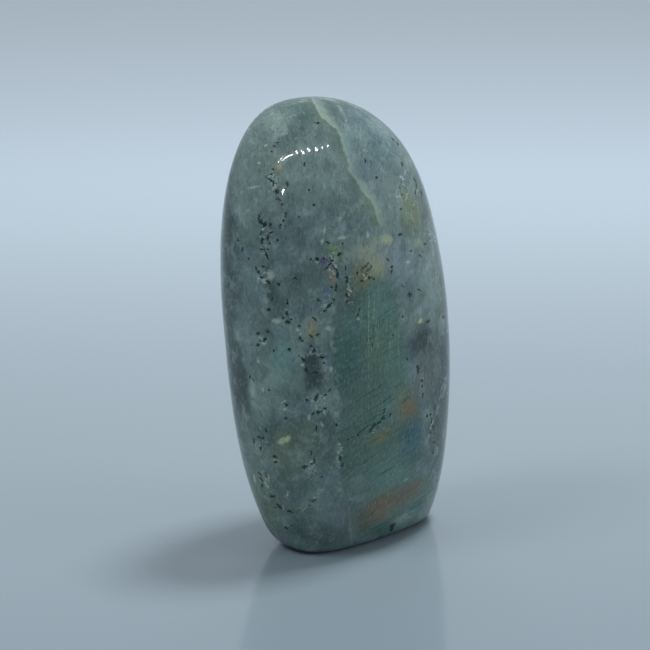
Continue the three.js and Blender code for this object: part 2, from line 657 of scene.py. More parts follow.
FLASH_AREA = (
    Patch(379, 319, 22, 37, Tone.FLASH_GREEN, 1.0, softness=0.35, depth=18),
    Patch(368, 357, 45, 52, Tone.FLASH_GREEN, 1.0, softness=0.25, depth=18),
    Patch(380, 440, 52, 62, Tone.FLASH_GREEN, 1.0, softness=0.2, depth=18),
    Patch(396, 505, 50, 30, Tone.FLASH_GREEN, 1.0, turn=22, softness=0.3, depth=18),
)

FLASH_PATCHES = (
    Patch(347, 356, 15, 46, Tone.FLASH_TEAL, 0.85),
    Patch(346, 318, 12, 12, Tone.FLASH_BRIGHT, 0.70),
    Patch(382, 303, 24, 24, Tone.FLASH_BRIGHT, 0.95),
    Patch(380, 350, 12, 14, Tone.FLASH_OLIVE, 0.70, softness=0.9),
    Patch(391, 292, 10, 11, Tone.FLASH_TEAL, 0.60),
    Patch(378, 338, 12, 12, Tone.FLASH_LIGHT, 0.60, turn=20),
    Patch(396, 366, 14, 40, Tone.FLASH_LIGHT, 0.90, turn=8),
    Patch(392, 408, 18, 16, Tone.FLASH_BRIGHT, 0.60, turn=20, softness=0.9),
    Patch(356, 452, 16, 26, Tone.FLASH_GREEN, 0.85),
    Patch(392, 475, 30, 22, Tone.FLASH_BRIGHT, 1.0),
    Patch(410, 403, 15, 22, Tone.ORANGE, 0.75, turn=-24, softness=1.0),
    Patch(409, 390, 12, 7, Tone.OLIVE, 0.55, turn=30),
    Patch(381, 436, 16, 6, Tone.YELLOW_BROWN, 0.80, turn=28),
    Patch(413, 440, 14, 23, Tone.FLASH_BLUE, 0.85, turn=-4, softness=1.0),
    Patch(357, 482, 9, 10, Tone.GREY_GREEN, 0.60),
    Patch(383, 507, 35, 16, Tone.BROWN, 0.90, turn=27),
    Patch(416, 490, 18, 11, Tone.BROWN, 0.85, turn=38),
    Patch(357, 519, 13, 20, Tone.DARK_EARTH, 0.70, softness=0.7),
    Patch(431, 497, 7, 5, Tone.PALE_GREEN, 0.80, turn=40),
    Patch(418, 507, 13, 6, Tone.FLASH_BLUE, 0.70, turn=28, softness=0.7),
    Patch(404, 519, 16, 7, Tone.PALE_GREEN, 0.90, turn=24),
    Patch(381, 527, 13, 6, Tone.FLASH_TEAL, 0.80, turn=20, softness=0.7),
)

BACK_FLASH_AREA = (
    Patch(330, 425, 42, 50, Tone.FLASH_GREEN, 1.0, turn=-25, softness=0.35, depth=10),
    Patch(356, 330, 24, 50, Tone.FLASH_GREEN, 0.8, turn=-12, softness=0.5, depth=10),
)

BACK_FLASH_PATCHES = (
    Patch(322, 412, 30, 26, Tone.FLASH_BRIGHT, 0.90, turn=-25, depth=10),
    Patch(356, 398, 20, 15, Tone.FLASH_BLUE, 0.90, turn=-25, depth=10),
    Patch(310, 458, 30, 10, Tone.BROWN, 0.80, turn=-30, softness=0.7, depth=10),
    Patch(358, 322, 16, 30, Tone.FLASH_TEAL, 0.80, turn=-12, depth=10),
)

SMALL_PATCHES = (
    Patch(326, 118, 8, 12, Tone.OLIVE_GLOW, 0.20, turn=35, softness=0.9, depth=6),
    Patch(371, 204, 8, 22, Tone.OLIVE_GLOW, 0.50, turn=30, softness=0.9, depth=6),
    Patch(344, 165, 6, 15, Tone.PALE, 0.40, turn=12, softness=0.9, depth=6),
    Patch(358, 134, 14, 9, Tone.PALE, 0.25, turn=-30, softness=0.9, depth=6),
    Patch(276, 120, 18, 10, Tone.PALE_GREEN, 0.35, turn=20, softness=1.0, depth=8),
    Patch(314, 366, 11, 22, Tone.DEEP, 0.85, turn=4, softness=0.6, depth=7),
    Patch(312, 384, 8, 12, Tone.DARK_SLATE, 0.70, softness=0.6, depth=7),
    Patch(331, 366, 5, 34, Tone.SLATE_GREY, 0.60, depth=6),
    Patch(322, 402, 13, 7, Tone.GREY_GREEN, 0.80, softness=0.7, depth=6),
    Patch(253, 389, 3, 9, Tone.PALE, 0.65, softness=0.7, depth=4),
    Patch(308, 427, 6, 9, Tone.OLIVE, 0.75, softness=0.7, depth=5),
    Patch(284, 440, 7, 3.5, Tone.YELLOW, 0.85, turn=24, softness=0.6, depth=4),
    Patch(387, 239.5, 7, 5, Tone.YELLOW, 0.55, softness=1.0, depth=3),
    Patch(417, 243, 8, 5, Tone.OLIVE_GLOW, 0.35, softness=1.0, depth=3),
    Patch(420, 321, 3.5, 3, Tone.YELLOW, 0.80, turn=40, softness=0.6, depth=3),
    Patch(419, 312, 4, 6, Tone.PALE, 0.50, softness=0.7, depth=3),
    Patch(333, 250, 8, 6, Tone.GREEN_SPOT, 0.65, turn=-20, depth=3),
    Patch(324, 261.5, 6, 4, Tone.PURPLE_SPOT, 0.80, turn=10, softness=0.6, depth=3),
    Patch(332.5, 277, 3.2, 8, Tone.ROSE, 0.70, turn=8, softness=0.9, depth=3),
    Patch(326.5, 293, 3, 5, Tone.BLUE_SPOT, 0.70, turn=-20, softness=0.9, depth=3),
    Patch(311.5, 328, 3.6, 11, Tone.GOLD, 0.70, turn=-8, softness=0.9, depth=3),
    Patch(338, 262, 6, 9, Tone.OLIVE, 0.60, softness=0.7, depth=3),
    Patch(279, 167, 3, 5, Tone.GOLD, 0.60, turn=-20, softness=0.9, depth=3),
)

BACK_PATCHES = (
    Patch(330, 200, 70, 60, Tone.PALE_GREEN, 0.70, turn=20, softness=0.9, depth=16),
    Patch(390, 330, 40, 70, Tone.GREY_GREEN, 0.70, softness=0.9, depth=16),
    Patch(290, 330, 36, 60, Tone.BLUE_GREY, 0.80, depth=16),
    Patch(380, 500, 40, 24, Tone.SLATE, 0.80, depth=14),
    Patch(262, 420, 18, 40, Tone.SLATE, 0.60, depth=14),
)

CRACK = Line(((312, 98.6), (317, 108), (323, 118), (337, 129), (343, 145), (347, 158), (350, 172),
              (358, 182), (363, 192), (371, 200), (376, 214), (380, 226)), 0.45, 0.08, 0.22)
FLASH_EDGE = Line(((333, 256), (332, 300), (332, 340), (335, 400), (338, 440), (340, 475), (343, 496),
                   (349, 510), (351, 545)), 0.12)
BRIGHT_STREAK = Line(((369, 296), (368.4, 350), (368.6, 416)), 0.20, 0.03, 0.46)
STREAKS = Patch(370, 321, 9, 34, Tone.STREAK, 1.0)
FAINT_STREAKS = Patch(380, 325, 26, 44, Tone.STREAK, 0.40, softness=0.9)
SEAM_EDGE = Line(((334, 300), (332, 330), (336, 380), (338, 440), (340, 500)), 0.8, 0.1, 0.20)
LOW_VEIN = Line(((349, 506), (350, 520), (351, 543)), 0.28, 0.02, 0.25)
PALE_VEINS = (
    Line(((343, 212), (338, 228), (330, 240), (333, 262), (330, 290), (322, 312), (318, 340), (326, 372),
          (322, 410), (310, 440))),
    Line(((272, 205), (268, 235), (263, 262), (267, 290), (262, 320))),
    Line(((255, 440), (268, 488), (290, 510))),
)

ZONES = tuple(Zone(*row) for row in (
    (264, 236, 7, 32), (272, 180, 10, 20, 20), (263, 276, 9, 12), (287, 318, 7, 16), (262, 340, 9, 10),
    (333, 262, 12, 26), (328, 306, 8, 18, -35), (349, 290, 8, 26), (366, 276, 12, 10, 20),
    (314, 352, 13, 12), (318, 402, 14, 16), (261, 444, 9, 14), (266, 480, 9, 18, 15),
    (285, 509, 12, 6, -20), (312, 470, 8, 22), (340, 452, 5, 20), (422, 384, 4, 18), (431, 425, 6, 22),
    (416, 188, 4, 10, 20), (373, 430, 16, 5, 32), (313, 500, 10, 8, 30),
))

FLAKES = tuple(Flake(*row) for row in (
    (317.4, 122.7, 2.8, 1.0), (304.7, 164, 1.0, 1.7), (309, 190, 1.2, 0.8), (313.7, 204.8, 1.5, 1.1),
    (277, 143, 1.5, 0.7), (274, 146.5, 1.2, 0.8), (272, 151.6, 1.3, 1.0), (273, 169.3, 1.4, 0.8),
    (271.3, 174, 1.3, 1.1), (271.8, 181.2, 4.0, 1.0, -28), (273.6, 184, 2.6, 0.9, 84),
    (286.8, 184.0, 2.8, 1.1, 102), (276.6, 191.3, 2.8, 2.0, 80), (279, 199, 2.2, 1.2, -20),
    (283, 204, 1.7, 1.1, 40), (376.5, 177.5, 1.6, 1.2, -40), (365.5, 160.5, 2.2, 0.7, 90),
    (392.9, 139.4, 2.4, 0.9, -60), (397.5, 143.5, 2.0, 0.9, -60), (402, 164, 1.0, 2.4),
    (414.8, 180, 3.2, 0.7, -62), (416.4, 186, 2.8, 0.7, -80), (415.6, 192, 2.6, 0.7, 76),
    (421.2, 192.6, 3.0, 0.8, -76), (401, 209, 1.3, 0.8, 30), (259.0, 216.5, 3.2, 1.2, 76),
    (261.2, 222, 3.2, 1.7, -50), (264.6, 224.8, 2.6, 1.9, 70), (270.5, 225, 1.2, 2.2),
    (280.5, 226, 1.0, 2.2), (283.3, 220.5, 1.0, 1.4), (286, 215, 0.8, 1.8), (261, 232.8, 0.7, 1.9),
    (262.2, 239.4, 1.3, 2.2, -10), (267.6, 237.2, 0.9, 3.2, -16), (271.4, 233, 2.2, 0.7, 12),
    (262.2, 243.3, 1.1, 1.4), (270, 243.3, 1.3, 1.1), (277.2, 240, 1.2, 1.0), (261.7, 249.4, 1.6, 0.9),
    (264.6, 249.4, 1.2, 0.8), (268, 249.4, 1.2, 0.8), (266.7, 255.5, 4.0, 0.9, -68),
    (262.8, 266.7, 2.0, 0.8, -24), (256, 268.3, 0.9, 1.6), (258.3, 271.7, 1.6, 1.2),
    (261.7, 277.5, 1.8, 1.3), (267.8, 281.7, 2.9, 1.2, -48), (278.9, 284.4, 1.4, 1.6),
    (272.2, 299.4, 1.0, 1.6), (268.9, 310, 1.4, 1.5), (299.4, 216.7, 0.9, 1.4),
    (294.7, 278.3, 1.5, 0.9, 10), (242.2, 249.4, 1.1, 2.4), (238.3, 240, 1.0, 1.3),
    (248.3, 258.9, 1.0, 1.2), (287.3, 302, 0.8, 3.4), (286.7, 313.3, 1.6, 1.8),
    (287.8, 321.7, 2.4, 1.8), (283.3, 317.8, 1.4, 0.9, 40), (291, 319.4, 0.9, 1.4),
    (299.4, 326, 1.5, 1.3), (300, 338.3, 1.6, 1.6), (302.6, 341, 1.4, 1.0),
    (258.3, 333.3, 2.0, 1.4, 40), (265, 339.4, 3.2, 1.0, 52), (267.8, 331.7, 1.4, 1.7),
    (258.3, 344.5, 2.0, 1.3, 50), (328.3, 242.8, 2.4, 1.1, -34), (342.8, 243.9, 0.9, 2.0),
    (338.9, 254.5, 2.6, 1.4, 40), (317.2, 258.9, 1.6, 1.4), (310.6, 258.9, 1.0, 1.2),
    (324.5, 258.9, 1.6, 0.8), (332.2, 261.1, 2.0, 1.2, 20), (328.6, 265.8, 4.8, 0.8, 48),
    (335, 269, 3.6, 0.9, -50), (337.3, 275, 1.4, 3.0, 6), (336, 286.8, 0.9, 4.2, -4),
    (331.7, 287.2, 0.9, 1.2), (318.3, 300, 1.6, 1.2), (333.3, 299.4, 1.4, 1.1),
    (329.2, 305.4, 3.4, 1.3, 46), (324.4, 310.8, 2.0, 0.9, 46), (314.6, 319, 2.8, 0.9, -46),
    (311, 336, 2.4, 1.0, -38), (317.4, 334.8, 2.2, 0.8, 24), (345.6, 268, 0.8, 2.6),
    (346, 277.8, 1.9, 1.3), (347.2, 282, 1.1, 2.0), (346.7, 295, 1.3, 1.4), (347.2, 301.7, 1.3, 1.3),
    (357.2, 272.8, 0.7, 1.9), (366, 265.6, 6.0, 0.7, 42), (369, 269, 5.0, 0.6, 42),
    (370, 277.6, 2.4, 1.2), (374, 279, 1.3, 1.0), (361.7, 281, 2.6, 0.9, 10),
    (359.4, 309.4, 0.9, 2.0, -20), (358.0, 314.4, 0.8, 2.2, -30), (387.8, 259.6, 1.8, 0.8, -50),
    (391.7, 266.9, 1.3, 1.6, -20), (391.6, 271.2, 0.9, 1.7, -20), (400, 234.7, 1.9, 1.4, 10),
    (425, 243.9, 1.5, 1.1), (411, 251, 1.7, 1.0, 5), (420.6, 256, 2.1, 0.7, -24),
    (402.8, 286, 2.6, 0.5, -38), (419.4, 290, 3.8, 0.8, -24), (410, 294.6, 2.2, 2.0),
    (427.8, 321.7, 2.8, 1.6, 36), (443.5, 316.7, 1.6, 1.8), (402.8, 316.7, 1.2, 0.8, 40),
    (392.8, 335, 0.9, 1.1), (372.2, 345, 0.9, 1.6), (407.2, 358.9, 1.2, 0.9),
    (417.8, 368.9, 1.4, 4.4, 4), (421.7, 380.4, 1.9, 1.4), (422, 386, 0.8, 1.5), (422.8, 395, 0.7, 3.4),
    (257.5, 345, 1.8, 1.2, 50), (273.8, 350.6, 1.0, 1.2), (313.8, 350.2, 1.6, 1.2),
    (311.3, 346, 1.6, 0.7, -20), (289.4, 349.4, 1.6, 1.6), (302.5, 358.8, 4.6, 1.0, -40),
    (322.5, 357.2, 3.4, 1.2, 8), (323.8, 363, 1.2, 1.2), (306, 370, 1.6, 2.2), (316, 372.5, 2.4, 0.7),
    (268.8, 390, 0.9, 1.0), (250, 376.9, 0.9, 1.2), (253.6, 380, 0.7, 2.0, 20),
    (316.8, 397, 1.5, 3.0, -20), (314.6, 399.6, 1.3, 0.9), (325, 395, 1.8, 1.0, 20),
    (329.4, 390.4, 0.7, 1.9, -30), (306.9, 400, 1.2, 1.0), (286.3, 405, 1.3, 1.7),
    (285.6, 418, 1.8, 0.9, -8), (312.8, 413.8, 2.0, 0.9, 46), (319, 412, 2.8, 1.2, 14),
    (325.2, 408.6, 2.0, 0.8, 38), (316.3, 427.5, 0.8, 2.6), (336.9, 425, 1.5, 1.1, -20),
    (266.3, 430, 1.0, 2.2), (253.8, 440, 0.9, 3.4, 4), (258.8, 436.9, 1.8, 1.0, -40),
    (263, 438, 1.8, 1.4, 10), (260.6, 448, 1.3, 1.6, -20), (274.4, 456.5, 2.3, 1.1, -16),
    (275.6, 461.9, 1.4, 0.9, 10), (314.4, 460, 0.9, 2.6, 8), (312.6, 463.6, 2.6, 0.9, 20),
    (304.4, 466.9, 3.0, 1.6, 14), (311.3, 452.5, 0.7, 2.6), (321.3, 477, 1.9, 0.7, 34),
    (313.4, 500.6, 2.5, 1.2, 12), (309.6, 505.6, 1.2, 0.8), (260, 473.8, 2.4, 0.8, -50),
    (261.3, 479, 2.6, 0.9, -50), (262.5, 485.2, 1.2, 1.4), (266, 475.6, 1.8, 0.9, -70),
    (273, 496.4, 3.8, 1.3, 2), (279.4, 506.3, 3.8, 1.1, -42), (275, 507.5, 1.4, 0.8),
    (290, 511.2, 3.2, 1.1, -20), (286.3, 528, 1.9, 1.6), (291, 526, 2.6, 0.4, 18),
    (340, 458, 1.3, 3.2, -8), (342.2, 466, 0.8, 2.2, -10), (337.2, 424.4, 1.4, 0.9, -30),
    (384.2, 411.2, 0.8, 3.2, -10), (383.3, 418, 1.9, 2.2), (379, 422.6, 3.2, 1.3, 30),
    (374, 425.4, 1.6, 2.6, -30), (371, 429.5, 1.4, 4.2, -28), (364.5, 428.6, 6.4, 0.6, 38),
    (358, 435.2, 0.9, 1.7, 10), (350, 438.8, 4.6, 0.5, 30), (390.2, 414.8, 0.9, 2.4, -14),
    (435, 406.7, 0.8, 3.2, -14), (430.6, 414.4, 1.4, 1.4), (431.5, 421, 1.2, 2.8),
    (433, 427.2, 1.3, 2.0), (430.6, 432.4, 1.9, 0.9), (427, 416, 1.0, 2.0),
    (433.9, 442.2, 2.4, 0.9, -38), (433.2, 451.7, 0.9, 2.2), (392.8, 525.4, 3.8, 2.4, 14),
    (391.6, 529, 2.2, 2.6, -10),
))

PALE_FLECKS = tuple(Flake(*row) for row in (
    (259, 162.8, 1.6, 0.9, 20), (265.6, 145.2, 2.0, 0.8, 20), (254, 187, 6.5, 1.0, 8),
    (375.2, 176.5, 0.8, 0.8), (405, 172.3, 0.8, 3.0, -10), (324.4, 230.5, 0.9, 4.0, -14),
    (322.5, 241, 1.2, 3.0, -14), (341.7, 237.8, 4.0, 1.6, 12), (367.8, 234.5, 1.4, 3.0),
    (276.6, 321, 4.5, 2.4), (270.5, 275, 3.4, 4.6, 10), (264.5, 281, 1.6, 2.4),
    (258.6, 279, 0.8, 3.2, -10), (297.5, 329.6, 2.0, 1.2, -40), (316.4, 262, 1.5, 0.9),
    (358.3, 319, 1.8, 1.2), (389.6, 266.2, 0.8, 0.9), (408, 262, 2.4, 1.6), (328.6, 328.6, 2.4, 2.2),
    (258, 361, 1.0, 2.4, 10), (302.5, 365, 2.0, 1.4, -40), (331, 369, 1.8, 3.0, -10),
    (312.4, 400.8, 1.5, 1.3), (308.8, 417.4, 1.4, 3.0), (285, 409, 1.8, 1.0, 20),
    (284.2, 401.6, 2.2, 0.8, 24), (275, 460, 1.6, 0.9, 10), (268.8, 477, 1.2, 2.0, 20),
    (254.4, 478.8, 0.9, 4.0, 10), (339.4, 444.5, 1.6, 1.4), (338.6, 453, 1.2, 1.6),
    (304.4, 508.8, 3.6, 0.7, 50), (281.6, 508, 2.4, 0.6, -40), (322, 424.5, 0.8, 2.6, 20),
    (316.4, 424.4, 0.8, 1.4), (287.5, 494, 0.8, 3.4, -20), (324.6, 412.6, 0.9, 3.4, 20),
    (300.6, 334, 0.9, 1.5), (263, 390, 0.9, 2.4, 4), (406, 479.6, 3.4, 0.6, 48),
))


@dataclass
class LabradoriteFinish:
    """The stone's finish: matrix, patches with painted shade over the top and edges, flash, boundaries,
    flakes and polish.

    Light is the share of the rock's own colour that the soft light of the scene hands back from its sides,
    and sheen what its polish adds, both as red, green and blue, so that a tone seen in the photograph
    gives the colour of the rock. The lamella turn is in degrees, and the sizes of a band, a line and a
    streak are their length and thickness in millimetres. Smoothest is the roughness of the polish, to
    which a flake adds its gloss, and the ripples' height is in millimetres. Streak rest is the share of the
    bright streak past the streaks' area. A reach is how far zones and flecks are stretched, and their depth
    in millimetres, and the crowdings are what a zone adds to the crumbs' noise.
    """

    picture: StoneInPicture
    back_picture: StoneInPicture
    light: tuple[float, float, float] = (0.425, 0.46, 0.505)
    sheen: tuple[float, float, float] = (0.012, 0.015, 0.018)
    lamella_turn: float = 31.0
    band_size: tuple[float, float] = (14.0, 2.2)
    line_size: tuple[float, float] = (6.0, 0.42)
    streak_size: tuple[float, float] = (12.0, 0.4)
    smoothest: float = 0.04
    flake_gloss: float = 0.2
    ripple_strength: float = 0.1
    ripple_height: float = 0.02
    flash_strength: float = 0.92
    streak_rest: float = 0.7
    zone_reach: tuple[float, float] = (1.3, 8.0)
    fleck_reach: tuple[float, float] = (1.6, 1.6)
    pale_crowding: float = 0.30
    dark_crowding: float = 0.17

    def __post_init__(self) -> None:
        """Starts an empty material."""
        self.material = bpy.data.materials.new("polished_labradorite")
        self.graph = Graph(self.material)

    def rock(self, tone: Tone) -> tuple[float, float, float]:
        """The rock's own colour where the photograph shows a tone."""
        shares = zip(tone.linear(), self.sheen, self.light)
        return tuple(min(max((seen - shine) / light, 0.002), 1.0) for seen, shine, light in shares)

    def place_in(self, picture: StoneInPicture) -> Wire:
        """The place on the stone in millimetres: right, up and towards the camera of a picture."""
        g = self.graph
        place = g.node("ShaderNodeTexCoord", {}, {}, "Object")
        axes = [tuple(axis / MM) for axis in picture.viewpoint.axes()]
        right, up, out = (g.vector("DOT_PRODUCT", place, axis, output=1) for axis in axes)
        return g.node("ShaderNodeCombineXYZ", {}, {0: right, 1: up, 2: out})

    def spot(self, place: Wire, middle: np.ndarray, size: tuple[float, float, float], turn: float) -> Wire:
        """How deep a place is in an ellipsoid: 0 at its rim and outside, rising evenly to 1 at its middle.

        Args:
            place: The place, along the picture's directions.
            middle: The ellipsoid's middle.
            size: Its three radii in millimetres.
            turn: Its turn across the picture in degrees.

        Returns:
            The depth.
        """
        g = self.graph
        links = {"Vector": place, "Location": tuple(middle), "Scale": size,
                 "Rotation": (0.0, 0.0, math.radians(turn))}
        local = g.node("ShaderNodeMapping", {"vector_type": "TEXTURE"}, links)
        return g.node("ShaderNodeTexGradient", {"gradient_type": "SPHERICAL"}, {"Vector": local}, "Fac")

    def patch_mask(self, patch: Patch, place: Wire, picture: StoneInPicture | None = None) -> Wire:
        """How strongly a patch colours a place: full inside, fading out over its soft rim."""
        middle = (picture or self.picture).in_view_axes(patch.x, patch.y)
        reach = 1 + patch.softness / 2
        size = (reach * patch.across / PIXELS_PER_MM, reach * patch.up / PIXELS_PER_MM, reach * patch.depth)
        depth = self.spot(place, middle, size, patch.turn)
        return self.graph.step(depth, 0.0, 1 - (1 - patch.softness) / reach, patch.strength)

    def paint(self, colour: Wire, patches: Sequence[Patch], place: Wire, within: Wire | None = None,
              picture: StoneInPicture | None = None) -> Wire:
        """Mixes each patch's tone over a colour, only within a mask where one is given."""
        for patch in patches:
            mask = self.patch_mask(patch, place, picture)
            if within is not None:
                mask = mask * within
            colour = self.graph.mix(mask, colour, self.rock(patch.tone))
        return colour

    def deepest(self, spots: Sequence[Flake | Zone], place: Wire, reach: float, depth: float) -> Wire:
        """How deep a place is in the nearest of many spots, whose radii are stretched by a reach."""
        most: Wire | None = None
        for spot in spots:
            middle = self.picture.in_view_axes(spot.x, spot.y)
            across, up = (spot.long, spot.wide) if isinstance(spot, Flake) else (spot.across, spot.up)
            size = (reach * across / PIXELS_PER_MM, reach * up / PIXELS_PER_MM, depth)
            inside = self.spot(place, middle, size, spot.turn)
            most = inside if most is None else most.most(inside)
        return most

    def line_offset(self, line: Line, place: Wire) -> tuple[Wire, Wire]:
        """How far a place is to the right of a line that runs up the picture, and whether it is beside it.

        A curve through the line's pixels gives its place across for each height.

        Args:
            line: The line, whose pixels rise or fall all along it.
            place: The place, along the photograph's directions.

        Returns:
            The offset in millimetres, and a mask that is 1 beside the line and fades past its ends.
        """
        g = self.graph
        ends = sorted((self.picture.in_view_axes(x, y)[:2] for x, y in line.pixels), key=lambda end: end[1])
        across, up = np.array(ends).T
        low, reach = across.min(), max(np.ptp(across), 0.1)
        parts = {name: g.node("ShaderNodeSeparateXYZ", {}, {0: place}, name) for name in ("X", "Y")}
        rise = g.node("ShaderNodeMapRange", {"clamp": False}, {0: parts["Y"], 1: up[0], 2: up[-1]})
        curve = g.curve(rise, (up - up[0]) / (up[-1] - up[0]), (across - low) / reach)
        offset = parts["X"] - (curve * reach + low)
        margin = 0.5 / (up[-1] - up[0])
        beside = g.step(rise, -margin, margin) * g.step(rise, 1 + margin, 1 - margin)
        return offset, beside

    def stroke(self, line: Line, offset: Wire) -> Wire:
        """How strongly a line colours a place at an offset from it."""
        return self.graph.step(abs(offset), line.reach, line.core, line.strength)

    def matrix(self, place: Wire) -> Wire:
        """The body of the rock: slow clouds between slate and pale grey."""
        clouds = self.graph.noise(place, Cloud.MATRIX)
        share = self.graph.fade(clouds, Fade.CLOUDS)
        return self.graph.mix(share, self.rock(Tone.BLUE_GREY), self.rock(Tone.GREY_GREEN))

    def drifting(self, colour: Wire, place: Wire) -> Wire:
        """Faint drifts of olive, teal and purple through the rock, each on its own noise."""
        g = self.graph
        for drift in DRIFTS:
            clouds = g.noise(g.vector("ADD", place, drift.shift), drift.cloud)
            share = g.step(clouds, drift.low, drift.high, drift.strength)
            colour = g.mix(share, colour, self.rock(drift.tone))
        return colour

    def mottled(self, colour: Wire, loose: Wire) -> Wire:
        """Clouding at the size of the crystals, and thin pale wisps between them."""
        g = self.graph
        blotch = g.noise(g.vector("MULTIPLY", loose, (1.0, 0.62, 1.0)), Cloud.BLOTCHES)
        colour = g.mix(g.fade(blotch, Fade.PALE_BLOTCHES), colour, self.rock(Tone.PALE))
        colour = g.mix(g.fade(blotch, Fade.DARK_BLOTCHES), colour, self.rock(Tone.DARK_SLATE))
        wisp = g.noise(g.vector("ADD", loose, (5.0, 61.0, 23.0)), Cloud.WISPS)
        thin = g.fade(abs(wisp - 0.5), Fade.WISPS)
        return g.mix(thin * g.fade(blotch, Fade.WISP_PLACES), colour, self.rock(Tone.WISP))

    def grained(self, colour: Wire, place: Wire) -> Wire:
        """Fine upright grain, pale and dark."""
        g = self.graph
        grain = g.noise(g.vector("MULTIPLY", place, (1.0, 0.45, 1.0)), Cloud.GRAIN)
        colour = g.mix(g.fade(grain, Fade.PALE_GRAIN), colour, self.rock(Tone.PALE))
        return g.mix(g.fade(grain, Fade.DARK_GRAIN), colour, self.rock(Tone.DARK_SLATE))

    def area(self, patches: Sequence[Patch], place: Wire, picture: StoneInPicture) -> Wire:
        """The patches of an area as one mask."""
        masks = [self.patch_mask(patch, place, picture) for patch in patches]
        return functools.reduce(Wire.most, masks)

    def flash_mask(self, place: Wire, back: Wire) -> Wire:
        """Where the flash shows: right of its upright edge in its area, and in an area on the far side."""
        offset, _ = self.line_offset(FLASH_EDGE, place)
        reach = FLASH_EDGE.reach
        front = self.area(FLASH_AREA, place, self.picture) * self.graph.step(offset, -reach, reach)
        return front.most(self.area(BACK_FLASH_AREA, back, self.back_picture))

    def lamellae(self, place: Wire, long: float, thick: float) -> Wire:
        """Parallel lines of the flash, rising to the right: noise drawn out along them."""
        links = {"Vector": place, "Rotation": (0.0, 0.0, math.radians(self.lamella_turn)),
                 "Scale": (long, thick, long)}
        drawn = self.graph.node("ShaderNodeMapping", {"vector_type": "TEXTURE"}, links)
        return self.graph.noise(drawn, Cloud.LAMELLAE)

    def upright_streaks(self, place: Wire) -> Wire:
        """Upright streaks of the flash: noise drawn out along the height."""
        g = self.graph
        long, thick = self.streak_size
        links = {"Vector": place, "Scale": (thick, long, long)}
        drawn = g.node("ShaderNodeMapping", {"vector_type": "TEXTURE"}, links)
        return g.noise(drawn, Cloud.STREAKS)

    def flashed(self, colour: Wire, flash: Wire, place: Wire, ragged: Wire, back: Wire) -> Wire:
        """The play of colour over the rock: its patches, its slanting lamellae and its upright streaks."""
        g = self.graph
        colour = g.mix(flash * self.flash_strength, colour, self.rock(Tone.FLASH_GREEN))
        colour = self.paint(colour, BACK_FLASH_PATCHES, back, flash, self.back_picture)
        colour = self.paint(colour, FLASH_PATCHES, ragged, flash)
        bands = self.lamellae(place, *self.band_size)
        colour = g.mix(g.fade(bands, Fade.BANDS) * flash, colour, self.rock(Tone.FLASH_BRIGHT))
        lines = self.lamellae(place, *self.line_size)
        colour = g.mix(g.fade(lines, Fade.PALE_LINES) * flash, colour, self.rock(Tone.FLASH_LIGHT))
        colour = g.mix(g.fade(lines, Fade.DARK_LINES) * flash, colour, self.rock(Tone.FLASH_DEEP))
        area = self.patch_mask(STREAKS, place)
        faint = self.patch_mask(FAINT_STREAKS, place)
        streaks = g.fade(self.upright_streaks(place), Fade.STREAKS) * area.most(faint)
        line, beside = self.line_offset(BRIGHT_STREAK, place)
        bright = self.stroke(BRIGHT_STREAK, line)
        streaks = streaks.most(bright * beside * (area + self.streak_rest))
        dashes = g.fade(g.noise(place, Cloud.DASHES), Fade.DASHES)
        return g.mix(streaks * dashes * flash, colour, self.rock(Tone.STREAK))

    def draw_boundaries(self, colour: Wire, place: Wire, straight: Wire) -> Wire:
        """The crack at the top, the upright grain boundary and the pale veins, over a colour."""
        g = self.graph
        crack, beside = self.line_offset(CRACK, place)
        left = g.fade(crack, Fade.LEFT_OF_CRACK) * g.fade(crack, Fade.BEFORE_CRACK) * beside
        colour = g.mix(left, colour, self.rock(Tone.DARK_OLIVE))
        right = g.fade(crack, Fade.RIGHT_OF_CRACK) * g.fade(crack, Fade.PAST_CRACK) * beside
        colour = g.mix(right, colour, self.rock(Tone.PALE))
        line = self.stroke(CRACK, crack)
        colour = g.mix(line * beside, colour, self.rock(Tone.OLIVE_GLOW))
        broken = g.fade(g.noise(place, Cloud.BREAKS), Fade.BREAKS)
        edge, beside = self.line_offset(SEAM_EDGE, place)
        line = self.stroke(SEAM_EDGE, edge)
        colour = g.mix(line * broken * beside, colour, self.rock(Tone.FLECK))
        low, beside = self.line_offset(LOW_VEIN, straight)
        line = self.stroke(LOW_VEIN, low)
        colour = g.mix(line * beside, colour, self.rock(Tone.OLIVE_GLOW))
        for vein in PALE_VEINS:
            offset, beside = self.line_offset(vein, place)
            line = self.stroke(vein, offset)
            colour = g.mix(line * broken * beside, colour, self.rock(Tone.VEIN))
        return colour

    def crumbs(self, colour: Wire, place: Wire, back: Wire) -> Wire:
        """Fine dark and pale crumbs, crowded in the zones and rare elsewhere."""
        g = self.graph
        zone = self.deepest(ZONES, place, *self.zone_reach)
        far = g.fade(g.noise(back, Cloud.FAR_CRUMBS), Fade.FAR_CRUMBS)
        side = g.fade(g.node("ShaderNodeSeparateXYZ", {}, {0: back}, "Z"), Fade.FAR_SIDE)
        zone = zone.most(far * side)
        pale = g.noise(g.vector("ADD", place, (9.0, 3.0, 77.0)), Cloud.PALE_CRUMBS)
        crowded = g.fade(zone * self.pale_crowding + pale, Fade.PALE_CRUMBS)
        colour = g.mix(crowded, colour, self.rock(Tone.FLECK))
        dark = g.noise(place, Cloud.DARK_CRUMBS)
        crowded = g.fade(zone * self.dark_crowding + dark, Fade.DARK_CRUMBS)
        return g.mix(crowded, colour, self.rock(Tone.FLAKE))

